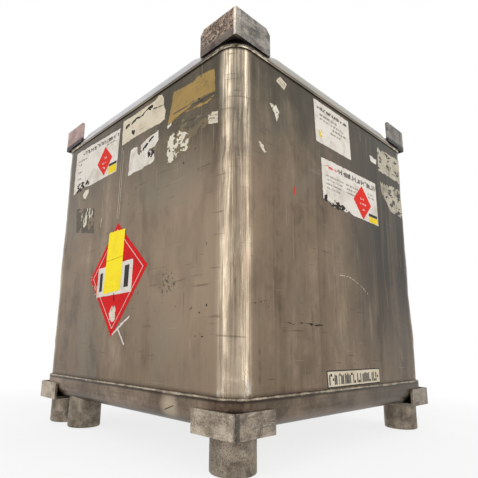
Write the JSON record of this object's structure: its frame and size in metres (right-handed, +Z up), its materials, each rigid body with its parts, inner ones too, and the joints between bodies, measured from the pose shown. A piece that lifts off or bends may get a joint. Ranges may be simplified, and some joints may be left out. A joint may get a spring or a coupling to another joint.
{
  "type": "intermediate bulk container",
  "caption": "Square stainless tank on tube feet with angle stacking lugs, hinged manway lid with swing bolts, fill port, relief vent and a recessed outlet ball valve.",
  "frame": {"origin": "on the floor under the middle of the tank's footprint", "axes": "+Z up; -Y the front wall with the placard; +X the right wall; -X the wall with the valve recess"},
  "size_m": [1.103, 1.103, 1.244],
  "materials": {
    "wall_steel": "worn satin stainless, brownish grey",
    "fitting_steel": "bright satin stainless",
    "lug_steel": "scuffed mill finish",
    "foot_steel": "pitted and speckled grey",
    "shaft_steel": "turned",
    "seal": "matte white",
    "grip_plastic": "dipped sleeve",
    "cap_plastic": "moulded"
  },
  "bodies": {
    "tank": {"body_shell": "wall_steel", "top_head": "fitting_steel", "bottom_head": "wall_steel", "valve_well": "wall_steel", "top_lap_weld": "fitting_steel", "bottom_lap_weld": "fitting_steel", "top_lug_front_left": "lug_steel", "top_lug_front_right": "lug_steel", "top_lug_rear_right": "lug_steel", "top_lug_rear_left": "lug_steel", "bottom_lug_front_left": "lug_steel", "bottom_lug_front_right": "lug_steel", "bottom_lug_rear_right": "lug_steel", "bottom_lug_rear_left": "lug_steel", "foot_plates": "lug_steel", "foot_front_left": "foot_steel", "foot_front_right": "foot_steel", "foot_rear_right": "foot_steel", "foot_rear_left": "foot_steel", "inner_feet": "foot_steel", "manway_collar": "fitting_steel", "manway_gasket": "seal", "hinge_bracket": "fitting_steel", "hinge_pin": "shaft_steel", "clamp_brackets": "fitting_steel", "clamp_pins": "shaft_steel", "fill_coupling": "fitting_steel", "fill_gasket": "seal", "vent_body": "fitting_steel", "vent_spring": "fitting_steel", "vent_cap": "fitting_steel", "outlet_pipe": "fitting_steel", "outlet_flange": "fitting_steel", "flange_gasket": "seal", "valve_body": "fitting_steel", "valve_end": "fitting_steel", "valve_seats": "seal", "flange_bolts": "shaft_steel", "outlet_adapter": "fitting_steel", "data_plate": "fitting_steel", "plate_rivets": "fitting_steel", "earth_stud": "fitting_steel"},
    "lid": {"manway_lid": "fitting_steel", "lid_handle": "fitting_steel"},
    "bolt_1": {"swing_bolt_1": "fitting_steel"},
    "bolt_2": {"swing_bolt_2": "fitting_steel"},
    "bolt_3": {"swing_bolt_3": "fitting_steel"},
    "nut_1": {"hand_nut_1": "fitting_steel"},
    "nut_2": {"hand_nut_2": "fitting_steel"},
    "nut_3": {"hand_nut_3": "fitting_steel"},
    "plug": {"fill_plug": "fitting_steel"},
    "poppet": {"vent_poppet": "shaft_steel"},
    "valve_handle": {"valve_lever": "fitting_steel", "lever_grip": "grip_plastic", "stem_nut": "fitting_steel", "valve_stem": "shaft_steel", "valve_ball": "fitting_steel"},
    "outlet_cap": {"dust_cap": "cap_plastic", "cap_gasket": "seal"}
  },
  "joints": [
    {"name": "lid_hinge", "type": "hinge", "parent": "tank", "child": "lid", "pos_m": [0, 0.276, 1.206], "axis": [-1, 0, 0], "range_deg": [0, 105]},
    {"name": "bolt_1_swing", "type": "hinge", "parent": "tank", "child": "bolt_1", "pos_m": [0.276, 0, 1.191], "axis": [0, -1, 0], "range_deg": [0, 84]},
    {"name": "nut_1_turn", "type": "hinge", "parent": "bolt_1", "child": "nut_1", "pos_m": [0.30783, 0, 1.19434], "axis": [0.9945, 0, 0.1045], "continuous": true},
    {"name": "bolt_2_swing", "type": "hinge", "parent": "tank", "child": "bolt_2", "pos_m": [-0.276, 0, 1.191], "axis": [0, 1, 0], "range_deg": [0, 84]},
    {"name": "nut_2_turn", "type": "hinge", "parent": "bolt_2", "child": "nut_2", "pos_m": [-0.30783, 0, 1.19434], "axis": [-0.9945, 0, 0.1045], "continuous": true},
    {"name": "bolt_3_swing", "type": "hinge", "parent": "tank", "child": "bolt_3", "pos_m": [0, -0.276, 1.191], "axis": [-1, 0, 0], "range_deg": [0, 84]},
    {"name": "nut_3_turn", "type": "hinge", "parent": "bolt_3", "child": "nut_3", "pos_m": [0, -0.30783, 1.19434], "axis": [0, -0.9945, 0.1045], "continuous": true},
    {"name": "plug_lift", "type": "slide", "parent": "tank", "child": "plug", "axis": [0, 0, 1], "range_m": [0, 0.06]},
    {"name": "vent_lift", "type": "slide", "parent": "tank", "child": "poppet", "axis": [0, 0, 1], "range_m": [0, 0.005], "stiffness_N_per_m": 1500, "springref_m": -0.004, "deforming": ["vent_spring"]},
    {"name": "valve_turn", "type": "hinge", "parent": "tank", "child": "valve_handle", "pos_m": [-0.3985, 0, 0.152], "axis": [0, 0, 1], "range_deg": [0, 90]},
    {"name": "cap_off", "type": "slide", "parent": "tank", "child": "outlet_cap", "axis": [-1, 0, 0], "range_m": [0, 0.06]}
  ]
}
